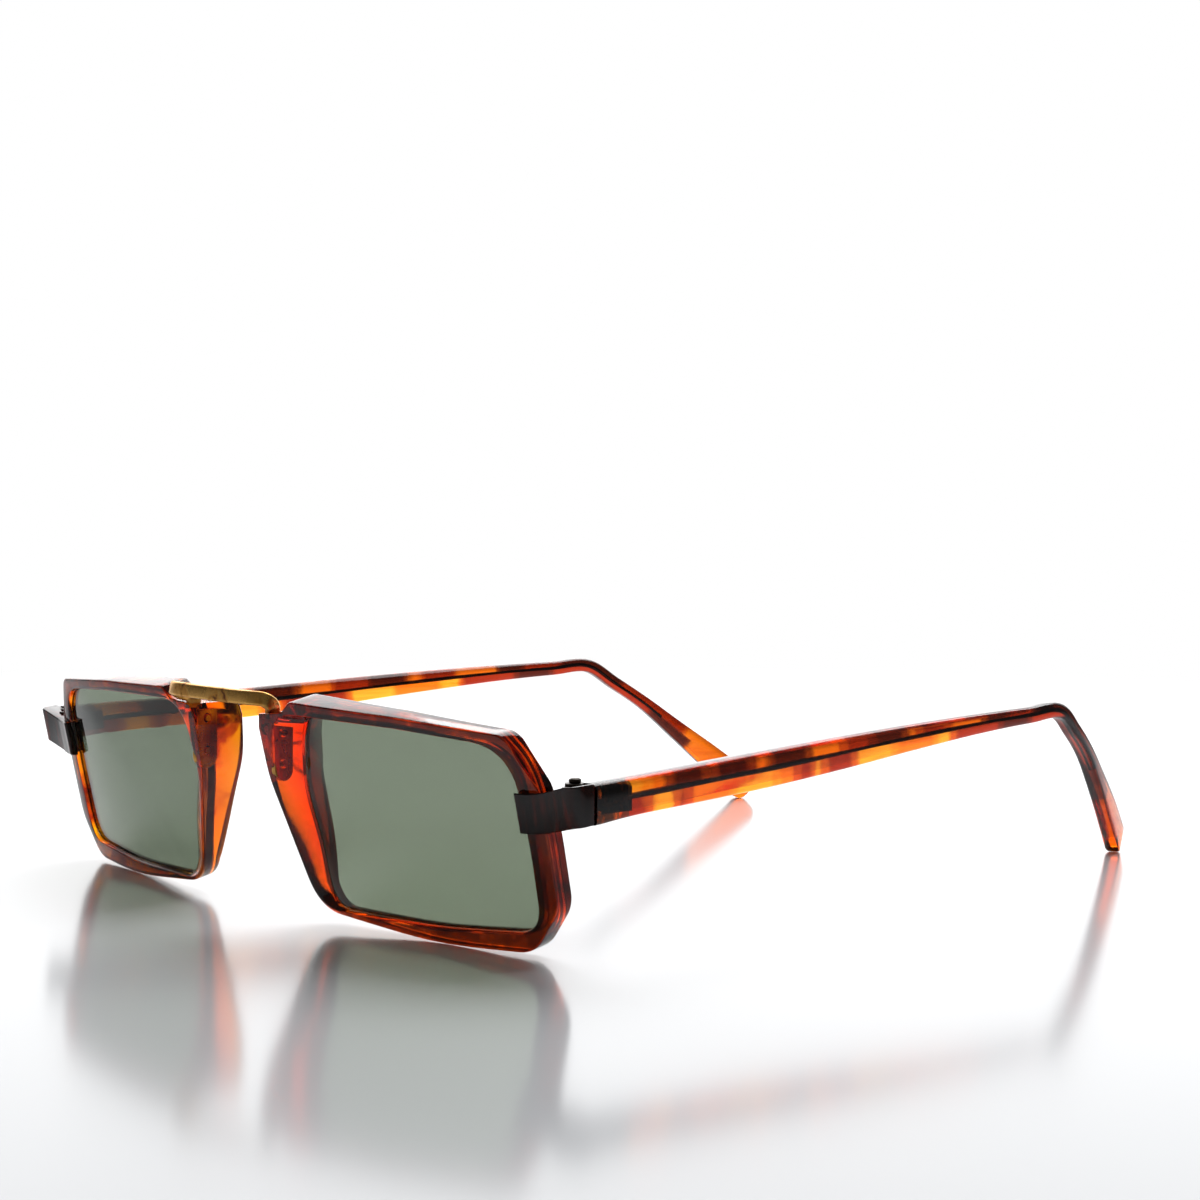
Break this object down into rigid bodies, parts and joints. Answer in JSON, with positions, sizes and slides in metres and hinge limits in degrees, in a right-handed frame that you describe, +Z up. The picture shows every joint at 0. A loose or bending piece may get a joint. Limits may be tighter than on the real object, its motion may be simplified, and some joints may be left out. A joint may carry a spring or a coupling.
{
  "type": "sunglasses",
  "caption": "Sunglasses with deep rectangular tortoiseshell plastic rims, grey-green lenses, a bent metal strip bridge and folding temples with curved ear ends.",
  "frame": {"origin": "middle of the rectangle the glasses stand in, on the surface they stand on", "axes": "+Z up, the lenses face -Y, the temples run back along +Y, +X is the wearer's left"},
  "size_m": [0.132, 0.1494, 0.0318],
  "materials": {
    "tortoise": "polished translucent amber plastic mottled dark brown",
    "dark_tortoise": "polished plastic, nearly black-brown",
    "lens": "polished grey-green tint",
    "gold": "aged gold, lightly tarnished",
    "steel": "plain machined"
  },
  "bodies": {
    "front": {"bridge": "gold", "rim_left": "tortoise", "rim_right": "tortoise", "lens_left": "lens", "lens_right": "lens", "bridge_anchor_left": "gold", "bridge_anchor_right": "gold", "anchor_rivet_upper_left": "gold", "anchor_rivet_upper_right": "gold", "anchor_rivet_lower_left": "gold", "anchor_rivet_lower_right": "gold", "end_piece_left": "dark_tortoise", "end_piece_right": "dark_tortoise", "front_hinge_leaf_left": "steel", "front_hinge_leaf_right": "steel", "hinge_screw_left": "gold", "hinge_screw_right": "gold"},
    "temple_left": {"temple_left": "tortoise", "core_wire_left": "steel", "temple_hinge_leaf_left": "steel"},
    "temple_right": {"temple_right": "tortoise", "core_wire_right": "steel", "temple_hinge_leaf_right": "steel"}
  },
  "joints": [
    {"name": "temple_fold_left", "type": "hinge", "parent": "front", "child": "temple_left", "pos_m": [0.0614, -0.06044, 0.0208], "axis": [0, 0, 1], "range_deg": [0, 83]},
    {"name": "temple_fold_right", "type": "hinge", "parent": "front", "child": "temple_right", "pos_m": [-0.0614, -0.06044, 0.0208], "axis": [0, 0, -1], "range_deg": [0, 57]}
  ]
}
